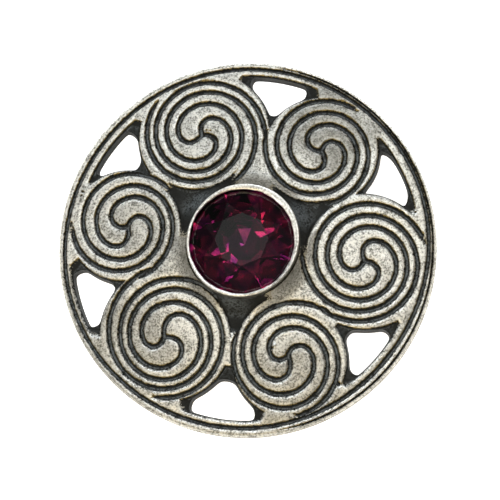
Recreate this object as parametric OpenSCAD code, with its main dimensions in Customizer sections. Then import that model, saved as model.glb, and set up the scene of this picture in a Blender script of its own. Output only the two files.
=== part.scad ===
// A round domed brooch, cast in pewter with six three-armed spirals and six piercings,
// with a faceted purple stone in a round setting and a plain pin bar behind.
// It lies on the feet of its pin bar, face up. X is right, Y is up as it is worn.

/* [Disc] */
// Diameter of the cast disc
disc_d = 38; // [36:0.5:42]
// Thickness of the disc at its edge
rim_t = 1.6; // [1.4:0.1:2]
// Height of the dome from the edge to the crown
dome_rise = 2.2; // [1.8:0.1:2.6]
// Depth of the grooves and sunk fields below the dome
relief_depth = 0.45; // [0.3:0.05:0.6]
// Width of the spiral grooves
groove_w = 0.52; // [0.4:0.02:0.56]
// Radius of the groove along the rim
rim_groove_r = 18.2; // [18.1:0.05:18.3]
// Width of the groove along the rim
rim_groove_w = 0.45; // [0.3:0.05:0.5]
// Diameter of the flat boss behind the stone
boss_d = 13.4; // [13:0.2:14]
// Width of the flat edge around the hollow back
back_edge_w = 1.2; // [1:0.1:1.4]

/* [Setting] */
// Wall of the setting
setting_wall = 0.35; // [0.3:0.05:0.4]
// Height of the setting's lip above the crown of the disc
setting_proud = 1.9; // [1.6:0.1:2.2]
// Floor of metal under the setting
pocket_floor = 0.7; // [0.6:0.1:1]

/* [Stone] */
// Diameter of the stone at its girdle
stone_d = 10.8; // [10.6:0.05:10.8]
// Width of the stone's table across its flats
table_w = 4.9; // [4.4:0.1:5.4]
// Height of the stone's crown above the girdle
crown_h = 1.5; // [1.3:0.1:1.6]
// Thickness of the girdle
girdle_t = 0.3; // [0.2:0.05:0.35]
// Depth of the stone's pavilion below the girdle
pavilion_h = 3.5; // [3.3:0.1:3.6]
// Slope of the pavilion's kites
pavilion_tilt = 38.5; // [37:0.5:39.5]
// Height of the flatter tip below the kites
tip_h = 0.45; // [0.3:0.05:0.5]

/* [Pin bar] */
// Length of the bar behind the disc
bar_l = 26; // [24:0.5:28]
// Width of the bar
bar_w = 5; // [4.5:0.5:6]
// Thickness of the bar
bar_t = 0.8; // [0.7:0.1:1]
// Height of the hinge and catch below the bar
foot_h = 3; // [2.8:0.1:3.4]
// Diameter of the pin
pin_d = 1; // [0.8:0.1:1.1]

/* [Hidden] */

// Spirals turn about these places: the eye where three grooves meet, and the middle of the
// outer turns. They are numbered from the upper left, clockwise as the brooch is seen.
// Columns: eye x, eye y, middle x, middle y
SPIRALS = [
    [-4.45, 11.25, -4.5, 11.3],
    [7.6, 9.45, 7.35, 9.6],
    [11.85, -1.65, 11.8, -1.5],
    [4.35, -11, 4.45, -11.5],
    [-8, -9.15, -7.5, -9],
    [-11.8, 1.95, -12.25, 2.2],
];

// Each groove leaves its eye, swings out and winds clockwise.
// Columns: spiral, direction at the eye, radius of the first swing, growth per turn, end direction
// Directions are degrees clockwise from +X, and go on past 360.
GROOVES = [
    [0, 128, 2.1, 3.05, 580],
    [0, 250, 1.85, 3.5, 725],
    [0, 351, 1.6, 3.75, 782],
    [1, 57, 1.9, 3.5, 450],
    [1, 183, 1.95, 3.45, 560],
    [1, 278, 1.45, 3.8, 674],
    [2, 4, 1.95, 3.35, 495],
    [2, 114, 1.8, 3.55, 550],
    [2, 248, 2.1, 3.3, 705],
    [3, 69, 2.65, 2.65, 445],
    [3, 132, 1.45, 3.6, 572],
    [3, 289, 1.65, 4.2, 674],
    [4, -4, 2.25, 3.05, 466],
    [4, 109, 1.6, 3.8, 616],
    [4, 262, 2.85, 2.7, 692],
    [5, 76, 2.15, 3.55, 434],
    [5, 172, 2.1, 3.25, 545],
    [5, 283, 1.6, 3.75, 688],
];

// Six sunk places by the rim, each between two neighbouring spirals, are cut through. The hole
// fills its sunk place, but for a ledge, as far as it comes within reach of its middle.
// Directions are degrees anticlockwise from +X.
// Columns: direction, outer radius, spiral a, ridge radius of a, spiral b, ridge radius of b,
// radius at which the hole's middle lies, reach of the hole
PIERCINGS = [
    [79, 17.55, 0, 6.9, 1, 5.5, 16.4, 2.9],
    [25.5, 17.3, 1, 5.9, 2, 6.65, 13.6, 4.05],
    [-40.8, 17.15, 2, 6.9, 3, 5.65, 16.15, 2.7],
    [-98, 17.45, 3, 5.65, 4, 6.4, 16.75, 3.3],
    [-162.3, 17.8, 4, 7.15, 5, 5.7, 16.65, 2.95],
    [144.2, 17.35, 0, 6.45, 5, 5.6, 16.35, 2.75],
];

// Three sunk fields lie around the setting, between the ridges of the spirals.
// Columns: direction from, direction to, outer radius
FIELDS = [
    [-7, 62, 9.6],
    [-136, -66, 9],
    [99, 170, 9.6],
];

// Angle in which a groove's swing out of the eye settles
swing = 22;
// Step of the points along a groove
groove_step = 12;
// Place of the rim groove's middle, because the groove isn't quite even
rim_groove_at = [-0.1, 0.07];
// Nearest that a piercing's sunk corner comes to the middle of the disc
piercing_in_r = 12.2;
// Radius about which each piercing is sunk, and how far its corners reach from there
sunk_mid_r = 15.2;
sunk_reach = 4.3;
// Ledge between the sunk corner and the hole
hole_ledge = 0.08;
// Width of the ridge between a groove and a sunk field
ridge_w = 0.54;
// Last part of a groove, which may run into a sunk field
inlet = 22;
// Share of the dome's rise that the hollow of the back has
dish_share = 0.9;

// Gap between pieces that are fitted to each other
fit_gap = 0.05;
// How far a cut reaches past the face that it opens
over = 1;
// More than any cut has to reach
far = 60;
// Depth of the girdle below the lip of the setting
girdle_in = 0.55;

disc_r = disc_d / 2;
back_z = foot_h + bar_t;
edge_z = back_z + rim_t;
crown_z = edge_z + dome_rise;
dome_r = (disc_r * disc_r + dome_rise * dome_rise) / (2 * dome_rise);
dish_rim_r = disc_r - back_edge_w;
dish_rise = dome_rise * dish_share;
dish_r = (dish_rim_r * dish_rim_r + dish_rise * dish_rise) / (2 * dish_rise);

girdle_r = stone_d / 2;
setting_bore_r = girdle_r + fit_gap;
setting_r = setting_bore_r + setting_wall;

pocket_z = back_z + pocket_floor;
pocket_r = setting_r + fit_gap;
setting_z = pocket_z + fit_gap;
lip_z = crown_z + setting_proud;

girdle_top = lip_z - girdle_in;
girdle_z = girdle_top - girdle_t;
culet_r = girdle_r - (pavilion_h - tip_h) / tan(pavilion_tilt);

$fn = 96;

// Radius of a groove, so many degrees on from its eye
function groove_radius(g, turned) = (g[2] + g[3] * turned / 360) * (1 - exp(-turned / swing));

// Share of the way from the eye to the middle of the spiral
function drift(turned) = let(s = min(turned / 360, 1)) s * s * (3 - 2 * s);

function groove_point(g, turned) =
    let(
        spiral = SPIRALS[g[0]],
        eye = [spiral[0], spiral[1]],
        middle = [spiral[2], spiral[3]],
        a = -(g[1] + turned)
    )
    eye + (middle - eye) * drift(turned) + groove_radius(g, turned) * [cos(a), sin(a)];

// One side of a groove, half its width to the left of its course, without its last part
function groove_side(g, half, left_out) = [
    for (turned = [0 : groove_step : g[4] - g[1] - left_out])
        let(
            here = groove_point(g, turned),
            ahead = groove_point(g, turned + 1) - here,
            left = [-ahead.y, ahead.x] / norm(ahead)
        )
        here + left * half
];

function reversed(list) = [for (i = [len(list) - 1 : -1 : 0]) list[i]];

module groove(g, left_out = 0) {
    left = groove_side(g, groove_w / 2, left_out);
    right = groove_side(g, -groove_w / 2, left_out);
    polygon(concat(left, reversed(right)));
}

// The place between the two spirals of a row, less an inset, within reach of a middle
module between_spirals(row, inset, mid_r, reach) {
    difference() {
        intersection() {
            circle(r = row[1] - inset);
            translate(mid_r * [cos(row[0]), sin(row[0])])
                circle(r = reach);
        }
        circle(r = piercing_in_r);
        for (k = [2, 4])
            translate([SPIRALS[row[k]][2], SPIRALS[row[k]][3]])
                circle(r = row[k + 1] + inset);
    }
}

module hole(row) {
    between_spirals(row, hole_ledge, row[6], row[7]);
}

// A wedge about a direction, with its point in the middle of the disc
module wedge(direction, half_angle) {
    out = far * cos(half_angle);
    aside = far * sin(half_angle);
    rotate(direction)
        polygon([[0, 0], [out, -aside], [out, aside]]);
}

// A field beside the setting, up to the ridges that border the grooves
module field(row) {
    difference() {
        intersection() {
            circle(r = row[2]);
            wedge((row[0] + row[1]) / 2, (row[1] - row[0]) / 2);
        }
        circle(r = setting_r);
        offset(delta = ridge_w)
            for (g = GROOVES)
                groove(g, inlet);
    }
}

module sunk_pattern() {
    for (g = GROOVES)
        groove(g);
    translate(rim_groove_at)
        difference() {
            circle(r = rim_groove_r + rim_groove_w / 2);
            circle(r = rim_groove_r - rim_groove_w / 2);
        }
    for (row = PIERCINGS)
        between_spirals(row, 0, sunk_mid_r, sunk_reach);
    for (row = FIELDS)
        field(row);
}

module dome(lower = 0) {
    translate([0, 0, crown_z - dome_r])
        rotate([90, 0, 0])
            sphere(r = dome_r - lower, $fn = 240);
}

module disc() {
    color([0.66, 0.64, 0.6])
        difference() {
            intersection() {
                translate([0, 0, back_z])
                    cylinder(r = disc_r, h = rim_t + dome_rise + over);
                dome();
            }
            difference() {
                translate([0, 0, back_z + dish_rise - dish_r])
                    rotate([90, 0, 0])
                        sphere(r = dish_r, $fn = 240);
                cylinder(d = boss_d, h = far);
            }
            difference() {
                translate([0, 0, back_z])
                    linear_extrude(far)
                        sunk_pattern();
                dome(relief_depth);
            }
            linear_extrude(far)
                for (row = PIERCINGS)
                    hole(row);
            translate([0, 0, pocket_z])
                cylinder(r = pocket_r, h = far);
        }
}

// The setting is a thin round cup that narrows a little towards its lip. The lip leans in
// over the girdle of the stone, which sits on a sloping seat.
module setting() {
    seat_w = 0.45;
    lip_in = 0.18;
    lip_round = 0.22;
    lip_slope = 0.1;
    taper = 0.15;
    stone_room = 3 * fit_gap;
    top_r = setting_r - taper;
    lip_r = setting_bore_r - lip_in;
    lip_under = girdle_top + stone_room;
    seat_r = setting_bore_r - seat_w;
    seat_top = girdle_z - stone_room;
    seat_bottom = seat_top - seat_w * tan(pavilion_tilt);
    floor_top = girdle_z - pavilion_h - 2 * fit_gap;
    color([0.85, 0.84, 0.8])
        rotate_extrude()
            polygon([
                [0, setting_z],
                [setting_r, setting_z],
                [top_r, lip_z - lip_round],
                [top_r - lip_round / 3, lip_z - lip_round / 3],
                [top_r - lip_round, lip_z],
                [lip_r, lip_z - lip_slope],
                [lip_r, lip_under],
                [setting_bore_r, lip_under - lip_slope],
                [setting_bore_r, seat_top],
                [seat_r, seat_bottom],
                [seat_r, floor_top],
                [0, floor_top],
            ]);
}

// Points of a ring about the axis, at equal turns from a first one
function ring(count, r, z, first = 0) = [
    for (k = [0 : count - 1])
        let(a = first + k * 360 / count)
        [r * cos(a), r * sin(a), z]
];

// The stone has an eight-sided table, 8 star, 8 kite and 16 girdle facets on its crown,
// a girdle of 16 flats, 16 girdle and 8 kite facets on its pavilion and 8 more at its tip.
// Star points and pavilion points lie where two kites meet, so that each kite is flat.
module stone() {
    turn = 360 / 16;
    keel_share = 0.25;
    table_r = table_w / 2 / cos(turn);
    star_r = (table_r + girdle_r) / 2;
    star_z = girdle_top + (girdle_r - star_r * cos(turn)) * crown_h / (girdle_r - table_r);
    keel_r = culet_r / cos(turn) + keel_share * (girdle_r - culet_r);
    keel_z = girdle_z - (girdle_r - keel_r * cos(turn)) * tan(pavilion_tilt);
    table_0 = 0;
    star_0 = 8;
    top_0 = 16;
    low_0 = 32;
    keel_0 = 48;
    culet_0 = 56;
    tip = 64;
    eighths = [0 : 7];
    points = concat(
        ring(8, table_r, girdle_top + crown_h),
        ring(8, star_r, star_z, turn),
        ring(16, girdle_r, girdle_top),
        ring(16, girdle_r, girdle_z),
        ring(8, keel_r, keel_z, turn),
        ring(8, culet_r / cos(turn), girdle_z - pavilion_h + tip_h, turn),
        [[0, 0, girdle_z - pavilion_h]]
    );
    faces = concat(
        [[for (k = eighths) table_0 + 7 - k]],
        [for (k = eighths) [table_0 + k, table_0 + (k + 1) % 8, star_0 + k]],
        [for (k = eighths) [table_0 + k, star_0 + k, top_0 + 2 * k, star_0 + (k + 7) % 8]],
        [for (k = eighths) [star_0 + k, top_0 + 2 * k + 1, top_0 + 2 * k]],
        [for (k = eighths) [star_0 + k, top_0 + (2 * k + 2) % 16, top_0 + 2 * k + 1]],
        [for (k = [0 : 15]) [top_0 + k, top_0 + (k + 1) % 16, low_0 + (k + 1) % 16, low_0 + k]],
        [for (k = eighths) [keel_0 + k, low_0 + 2 * k, low_0 + 2 * k + 1]],
        [for (k = eighths) [keel_0 + k, low_0 + 2 * k + 1, low_0 + (2 * k + 2) % 16]],
        [for (k = eighths) concat(
            [culet_0 + k, culet_0 + (k + 7) % 8, keel_0 + (k + 7) % 8],
            [low_0 + 2 * k, keel_0 + k]
        )],
        [for (k = eighths) [tip, culet_0 + (k + 7) % 8, culet_0 + k]]
    );
    color([0.35, 0.08, 0.3])
        polyhedron(points, faces);
}

// A cylinder from one place on the X axis to another
module rod(from_x, to_x, d_from, d_to) {
    translate([from_x, 0, 0])
        rotate([0, from_x < to_x ? 90 : -90, 0])
            cylinder(d1 = d_from, d2 = d_to, h = abs(to_x - from_x));
}

// The bar lies across the back. A hinge block and an open catch stand on it as its feet,
// with the pin between them.
module pin_bar() {
    bar_z = back_z - fit_gap - bar_t;
    block_h = bar_z + bar_t / 2;
    straight_l = bar_l - bar_w;
    hinge_in = 2;
    hinge_l = 3;
    hinge_x = straight_l / 2 - hinge_in;
    rivet_d = 1.3;
    rivet_out = 0.25;
    catch_l = 2.6;
    catch_w = 3.8;
    catch_x = -straight_l / 2;
    catch_bore = 1.6;
    slot_h = 1.2 * pin_d;
    pin_z = 1.45;
    tip_l = 1.5;
    tip_d = 0.3;
    color([0.72, 0.72, 0.74])
        union() {
            translate([0, 0, bar_z])
                linear_extrude(bar_t)
                    union() {
                        square([straight_l, bar_w], center = true);
                        for (side = [-1, 1])
                            translate([side * straight_l / 2, 0])
                                circle(d = bar_w);
                    }
            translate([hinge_x, -bar_w / 2, 0])
                cube([hinge_l, bar_w, block_h]);
            translate([hinge_x + hinge_l / 2, bar_w / 2 + rivet_out, pin_z])
                rotate([90, 0, 0])
                    cylinder(d = rivet_d, h = bar_w + 2 * rivet_out);
            difference() {
                translate([catch_x, -catch_w / 2, 0])
                    cube([catch_l, catch_w, block_h]);
                translate([0, 0, pin_z]) {
                    rod(catch_x - over, catch_x + catch_l + over, catch_bore, catch_bore);
                    translate([catch_x - over, -catch_w, -slot_h / 2])
                        cube([catch_l + 2 * over, catch_w, slot_h]);
                }
            }
            translate([0, 0, pin_z]) {
                rod(hinge_x + hinge_l / 2, catch_x + tip_l, pin_d, pin_d);
                rod(catch_x + tip_l, catch_x, pin_d, tip_d);
            }
        }
}

disc();
setting();
stone();
pin_bar();
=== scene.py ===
# %% [markdown]
# # A cast pewter brooch with six spirals and a purple stone
#
# The brooch is a low dome, cut through in six places along its rim. Six three-armed spirals
# wind over it in raised ridges, and black patina fills the grooves between them. A stone sits in
# a round polished setting in the middle, and a pin bar on the back carries the brooch.
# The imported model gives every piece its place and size. This script gives each one its surface.

# %% Load the frame
import math
from collections import namedtuple

import bmesh
import bpy
import numpy as np
from mathutils import Matrix, Vector, kdtree, noise
from mathutils.geometry import delaunay_2d_cdt


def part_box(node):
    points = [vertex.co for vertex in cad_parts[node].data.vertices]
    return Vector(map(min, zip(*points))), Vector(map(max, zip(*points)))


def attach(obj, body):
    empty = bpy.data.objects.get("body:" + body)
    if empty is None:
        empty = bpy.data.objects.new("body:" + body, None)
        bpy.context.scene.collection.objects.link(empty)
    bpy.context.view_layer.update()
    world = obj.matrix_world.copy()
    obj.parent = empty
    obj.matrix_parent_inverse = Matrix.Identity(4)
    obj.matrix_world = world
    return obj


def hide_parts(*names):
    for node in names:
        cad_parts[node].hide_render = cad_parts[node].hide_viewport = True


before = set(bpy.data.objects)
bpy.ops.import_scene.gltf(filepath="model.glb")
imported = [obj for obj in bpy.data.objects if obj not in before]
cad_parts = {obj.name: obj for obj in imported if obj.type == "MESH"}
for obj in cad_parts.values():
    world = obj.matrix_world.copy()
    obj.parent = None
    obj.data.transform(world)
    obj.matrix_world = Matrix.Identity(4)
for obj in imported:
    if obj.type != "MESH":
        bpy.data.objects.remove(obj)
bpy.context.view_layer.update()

# %% [markdown]
# Small jewellery is measured in millimetres, and the scene's own unit is the metre. Everything here
# is worked out in millimetres and turned into metres once, where a mesh is made. Sizes that the
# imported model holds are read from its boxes, so that the dressed pieces fit the plain ones.

# %% Sizes in millimetres
MM = 0.001
RIM_T = 1.6
DOME_RISE = 2.2
DISH_SHARE = 0.9
RELIEF = 0.45
BOSS_R = 6.7
BACK_EDGE_W = 1.2
POCKET_GAP = 0.05
POCKET_FLOOR = 0.7


def ball_r(half_width, rise):
    """Radius of the ball that a dome so wide and so high is cut from."""
    return (half_width**2 + rise**2) / (2 * rise)


disc_low, disc_high = (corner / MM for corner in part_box("disc"))
setting_low, setting_high = (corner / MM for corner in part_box("setting"))
_, stone_high = (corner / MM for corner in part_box("stone"))

disc_r, back_z = disc_high.x, disc_low.z
setting_r, setting_z, lip_z = setting_high.x, setting_low.z, setting_high.z
girdle_r, table_z = stone_high.x, stone_high.z
pocket_r, pocket_z = setting_r + POCKET_GAP, back_z + POCKET_FLOOR

edge_z = back_z + RIM_T
crown_z = edge_z + DOME_RISE
dome_r = ball_r(disc_r, DOME_RISE)
dish_rim_r = disc_r - BACK_EDGE_W
dish_rise = DISH_SHARE * DOME_RISE
dish_r = ball_r(dish_rim_r, dish_rise)
print(f"Disc radius {disc_r:.2f}, dome radius {dome_r:.2f}, lip at {lip_z:.2f}")

# %% [markdown]
# The photograph looks almost straight down on the face. The lower right side is a little nearer
# to the camera, so the camera leans that way by ten degrees and a half. Its matrix is built from
# that one lean, which keeps the top of the brooch at the top of the picture. The aim is moved off
# the middle of the disc by the small step that places the brooch in the frame.

# %% Camera
LEAN = math.radians(10.5)
LEAN_TOWARDS = math.radians(-60.5)
CAMERA_DISTANCE = 220
FRAME_W = 50.04
SENSOR_W = 36
AIM_RIGHT = 0.375
AIM_UP = -0.270

camera_data = bpy.data.cameras.new("camera")
camera_data.sensor_width = SENSOR_W
camera_data.lens = SENSOR_W * CAMERA_DISTANCE / FRAME_W
camera_data.clip_start = 0.01
camera_data.clip_end = 10
camera = bpy.data.objects.new("camera", camera_data)
bpy.context.scene.collection.objects.link(camera)
bpy.context.scene.camera = camera

lean_axis = Vector((-math.sin(LEAN_TOWARDS), math.cos(LEAN_TOWARDS), 0))
camera_turn = Matrix.Rotation(LEAN, 3, lean_axis)
aim = Vector((0, 0, edge_z)) + camera_turn @ Vector((AIM_RIGHT, AIM_UP, 0))
camera_at = aim + camera_turn @ Vector((0, 0, CAMERA_DISTANCE))
camera.matrix_world = Matrix.Translation(camera_at * MM) @ camera_turn.to_4x4()
print("Camera at", [round(c, 1) for c in camera_at], "lens", round(camera_data.lens, 1))

# %% [markdown]
# Each spiral has an eye, where three grooves meet, and a middle, about which its outer turns run.
# A groove leaves the eye, swings out and winds clockwise until it runs out beside a neighbour.
# A picture could be traced point by point, but one rule with five numbers for each groove says
# more: it shows how the pattern was drawn, and any number of points can be taken from it.

# %% The spirals and their grooves
Spiral = namedtuple("Spiral", "eye_x eye_y middle_x middle_y")
SPIRALS = [
    Spiral(-4.45, 11.25, -4.5, 11.3),
    Spiral(7.6, 9.45, 7.35, 9.6),
    Spiral(11.85, -1.65, 11.8, -1.5),
    Spiral(4.35, -11, 4.45, -11.5),
    Spiral(-8, -9.15, -7.5, -9),
    Spiral(-11.8, 1.95, -12.25, 2.2),
]

# Directions are degrees clockwise from +X, and go on past 360.
Groove = namedtuple("Groove", "spiral start first_r growth end")
GROOVES = [
    Groove(0, 128, 2.1, 3.05, 580),
    Groove(0, 250, 1.85, 3.5, 725),
    Groove(0, 351, 1.6, 3.75, 782),
    Groove(1, 57, 1.9, 3.5, 450),
    Groove(1, 183, 1.95, 3.45, 560),
    Groove(1, 278, 1.45, 3.8, 674),
    Groove(2, 4, 1.95, 3.35, 495),
    Groove(2, 114, 1.8, 3.55, 550),
    Groove(2, 248, 2.1, 3.3, 705),
    Groove(3, 69, 2.65, 2.65, 445),
    Groove(3, 132, 1.45, 3.6, 572),
    Groove(3, 289, 1.65, 4.2, 674),
    Groove(4, -4, 2.25, 3.05, 466),
    Groove(4, 109, 1.6, 3.8, 616),
    Groove(4, 262, 2.85, 2.7, 692),
    Groove(5, 76, 2.15, 3.55, 434),
    Groove(5, 172, 2.1, 3.25, 545),
    Groove(5, 283, 1.6, 3.75, 688),
]
print(f"{len(SPIRALS)} spirals with {len(GROOVES)} grooves")

# %% [markdown]
# A groove's radius grows evenly as it turns, apart from the short swing out of its eye. Over the
# first turn its centre drifts from the eye to the middle. An even step in degrees would be a long
# step on the outer turns, so the course is drawn finely once and then cut into even lengths.

# %% Course of a groove
# Degrees over which a groove swings out of its eye, and the step at which its course is drawn.
SWING = 22
FINE_STEP = 0.5


def smooth(low, high, value):
    """Goes softly from 0 at low to 1 at high."""
    share = np.clip((value - low) / (high - low), 0, 1)
    return share * share * (3 - 2 * share)


def arrows(angle):
    """Arrows of length 1 in the given directions, as an array of x and y."""
    return np.stack([np.cos(angle), np.sin(angle)], axis=-1)


def groove_points(groove, turned):
    """Places along a groove, so many degrees on from its eye."""
    spiral = SPIRALS[groove.spiral]
    radius = (groove.first_r + groove.growth * turned / 360) * (1 - np.exp(-turned / SWING))
    eye = np.array([spiral.eye_x, spiral.eye_y])
    middle = np.array([spiral.middle_x, spiral.middle_y])
    centre = eye + (middle - eye) * smooth(0, 360, turned)[:, None]
    return centre + radius[:, None] * arrows(-np.radians(groove.start + turned))


def course(groove, step):
    """Points at an even step along a groove, what lies to their left, and how much is left."""
    fine = groove_points(groove, np.arange(0, groove.end - groove.start, FINE_STEP))
    gone = np.concatenate([[0], np.cumsum(np.hypot(*np.diff(fine, axis=0).T))])
    at = np.arange(0, gone[-1], step)
    points = np.stack([np.interp(at, gone, fine[:, k]) for k in (0, 1)], axis=1)
    ahead = np.gradient(points, axis=0)
    ahead /= np.hypot(*ahead.T)[:, None]
    return points, np.stack([-ahead[:, 1], ahead[:, 0]], axis=1), gone[-1] - at


groove_length = sum(len(course(groove, 1)[0]) for groove in GROOVES)
print(f"Grooves: {groove_length} mm in all")

# %% [markdown]
# Between the spirals the metal is sunk: in six places by the rim, which are cut through, and in
# three fields beside the setting. Each has a formula that gives how far a point lies inside it,
# the least of the distances to its bounds. The same number then shapes the sunk walls, finds
# the outline of the hole and tells the patina where to gather. The places by the rim come first.

# %% The sunk places by the rim
# Directions are degrees anticlockwise from +X.
Piercing = namedtuple("Piercing", "direction outer_r a ridge_a b ridge_b hole_mid_r hole_reach")
PIERCINGS = [
    Piercing(79, 17.55, 0, 6.9, 1, 5.5, 16.4, 2.9),
    Piercing(25.5, 17.3, 1, 5.9, 2, 6.65, 13.6, 4.05),
    Piercing(-40.8, 17.15, 2, 6.9, 3, 5.65, 16.15, 2.7),
    Piercing(-98, 17.45, 3, 5.65, 4, 6.4, 16.75, 3.3),
    Piercing(-162.3, 17.8, 4, 7.15, 5, 5.7, 16.65, 2.95),
    Piercing(144.2, 17.35, 0, 6.45, 5, 5.6, 16.35, 2.75),
]
PIERCING_IN_R = 12.2
SUNK_MID_R = 15.2
SUNK_REACH = 4.3


def distance_to(points, at):
    return np.hypot(points[:, 0] - at[0], points[:, 1] - at[1])


def from_axis(points):
    """Distance of each point from the brooch's axis."""
    return np.hypot(*points.T)


def direction_of(points):
    """Direction of each point from the axis, in radians anticlockwise from +X."""
    return np.arctan2(points[:, 1], points[:, 0])


def towards(place, radius):
    """The point at a radius in the direction of a piercing."""
    return radius * arrows(math.radians(place.direction))


def bounds_of(points, place):
    """How far each point lies within the rim's side of a piercing and the ridges beside it."""
    a, b = SPIRALS[place.a], SPIRALS[place.b]
    return [
        place.outer_r - from_axis(points),
        distance_to(points, (a.middle_x, a.middle_y)) - place.ridge_a,
        distance_to(points, (b.middle_x, b.middle_y)) - place.ridge_b,
    ]


def before_end(points, place):
    """How far each point lies before the far corners of a sunk place by the rim."""
    return SUNK_REACH - distance_to(points, towards(place, SUNK_MID_R))


def in_piercing_by(points, place):
    """How far each point lies inside a sunk place by the rim. Outside, it is negative."""
    inner = from_axis(points) - PIERCING_IN_R
    return np.min([inner, before_end(points, place), *bounds_of(points, place)], axis=0)


for place in PIERCINGS:
    middle = towards(place, SUNK_MID_R)[None]
    print(f"At {place.direction} degrees: {in_piercing_by(middle, place)[0]:.2f} mm to the nearest wall")

# %% [markdown]
# A hole is what goes right through a sunk place. The least of several distances would give it
# sharp corners, which no file leaves. The logarithm of a sum of powers is nearly that least
# distance in the middle of a side, and rounds the corners. No formula gives the outline itself,
# so it is found by halving along rays, which comes within a millionth of a millimetre in thirty
# steps.

# %% Outlines of the holes
HOLE_LEDGE = 0.08
HOLE_ROUND = 0.15
HOLE_COUNT = 220
HALVINGS = 30


def in_hole_by(points, place, inset):
    """How far each point lies inside the hole of a piercing, with its corners rounded."""
    terms = [term - HOLE_LEDGE - inset for term in bounds_of(points, place)]
    terms.append(from_axis(points) - PIERCING_IN_R - inset)
    terms.append(place.hole_reach - inset - distance_to(points, towards(place, place.hole_mid_r)))
    return -HOLE_ROUND * np.log(np.sum(np.exp(-np.array(terms) / HOLE_ROUND), axis=0))


def hole_outline(place, inset, count=HOLE_COUNT):
    """The outline of a hole, found by halving along rays from its middle."""
    middle = towards(place, SUNK_MID_R)
    rays = arrows(np.linspace(0, 2 * np.pi, count, endpoint=False))
    low, high = np.zeros(count), np.full(count, SUNK_REACH)
    for _ in range(HALVINGS):
        half = (low + high) / 2
        inside = in_hole_by(middle + rays * half[:, None], place, inset) > 0
        low, high = np.where(inside, half, low), np.where(inside, high, half)
    return middle + rays * low[:, None]


for place in PIERCINGS:
    outline = hole_outline(place, 0)
    size = outline.max(axis=0) - outline.min(axis=0)
    print(f"Hole at {place.direction:.0f} degrees: {size[0]:.2f} by {size[1]:.2f} mm")

# %% [markdown]
# Nothing made by hand is quite round. The groove along the rim drifts a little, and the lip of
# the setting is narrow at the upper left and broad at the upper right. Noise would give lumps in
# places of its own choice. A few waves around the circle put each bulge where the photograph has
# it. The face ends where the leaning wall of the setting passes through it, so the lip comes first.

# %% Circles that aren't quite round
RIM_GROOVE_R = 18.2
LIP_R = 5.6
LIP_W = 0.42
LIP_H = 0.5
POCKET_BELOW = 0.4

# A wave around a circle: its height, how many crests it has and the direction of one, in degrees.
Wave = namedtuple("Wave", "height crests at")
RIM_GROOVE_WAVES = [Wave(0.1, 1, 135), Wave(0.12, 2, 32), Wave(0.05, 4, 12)]
LIP_R_WAVES = [Wave(0.12, 2, 54), Wave(0.1, 1, 90)]
LIP_W_WAVES = [Wave(0.15, 1, 50), Wave(0.1, 2, 54), Wave(0.02, 9, 10), Wave(0.015, 23, 1.4219)]


def with_waves(radius, waves, angle):
    """A radius that waves put out of round."""
    for wave in waves:
        radius = radius + wave.height * np.cos(wave.crests * (angle - math.radians(wave.at)))
    return radius


def rim_groove_r(angle):
    return with_waves(RIM_GROOVE_R, RIM_GROOVE_WAVES, angle)


def lip_radii(angle):
    """Outer and inner radius of the setting's lip."""
    outer = with_waves(LIP_R, LIP_R_WAVES, angle)
    return outer, outer - with_waves(LIP_W, LIP_W_WAVES, angle)


def wall_r(angle, height):
    """Radius of the setting's wall, which leans in to meet the lip."""
    share = (height - setting_z) / (lip_z - LIP_H - setting_z)
    return setting_r + (lip_radii(angle)[0] - setting_r) * share


def pocket_edge_r(angle):
    """Radius of the edge that the face keeps around the setting."""
    return wall_r(angle, lip_z - LIP_H - POCKET_BELOW) + POCKET_GAP


def from_setting(points):
    """Distance of each point from the edge around the setting."""
    return from_axis(points) - pocket_edge_r(direction_of(points))


for label, rule in (("Rim groove", rim_groove_r), ("Edge around the setting", pocket_edge_r)):
    radii = [rule(math.radians(degrees)) for degrees in range(360)]
    print(f"{label}: radius {min(radii):.2f} to {max(radii):.2f} mm")

# %% [markdown]
# How deep the face is at a point depends on how near the next groove runs. To measure to every
# place on every groove would take minutes, so a search tree sorts these places first and then
# finds the nearest one in a few steps. Near its end a groove grows thin and no longer bounds a
# field beside the setting, so the ends are left out of the tree that the fields use.

# %% The nearest groove, and the fields beside the setting
Field = namedtuple("Field", "start end outer_r")
FIELDS = [Field(-7, 62, 9.6), Field(-136, -66, 9), Field(99, 170, 9.6)]
FIELD_RIDGE = 0.8
FIELD_SLOPE = 0.17
FIELD_NEAR = -0.3
INLET = 2.3
COURSE_STEP = 0.03


def tree_of(points):
    """A search tree of places on the plane."""
    tree = kdtree.KDTree(len(points))
    for k, (x, y) in enumerate(points):
        tree.insert((x, y, 0), k)
    tree.balance()
    return tree


courses = [course(groove, COURSE_STEP) for groove in GROOVES]
course_points = np.concatenate([points for points, _, _ in courses])
course_left_over = np.concatenate([left_over for _, _, left_over in courses])
course_tree = tree_of(course_points)
shore_tree = tree_of(course_points[course_left_over > INLET])


def nearest_groove(points):
    """Distance to the nearest groove, and how much of that groove is left from there."""
    found = [course_tree.find((x, y, 0)) for x, y in points]
    return np.array([f[2] for f in found]), course_left_over[[f[1] for f in found]]


def in_field_by(points, field):
    """How far each point lies inside a field, whose bounds are ridges and two soft slopes."""
    middle, half = (field.start + field.end) / 2, (field.end - field.start) / 2
    turn = np.degrees(direction_of(points)) - middle
    spare = np.radians(np.clip(half - np.abs((turn + 180) % 360 - 180), -90, 90))
    radius = from_axis(points)
    within = np.minimum(radius * np.sin(spare), field.outer_r - radius) * FIELD_SLOPE
    near = within > FIELD_NEAR
    shore = np.array([shore_tree.find((x, y, 0))[2] for x, y in points[near]])
    within[near] = np.minimum(within[near], shore - FIELD_RIDGE)
    return within


print(f"{len(course_points)} places along the grooves")

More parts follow.
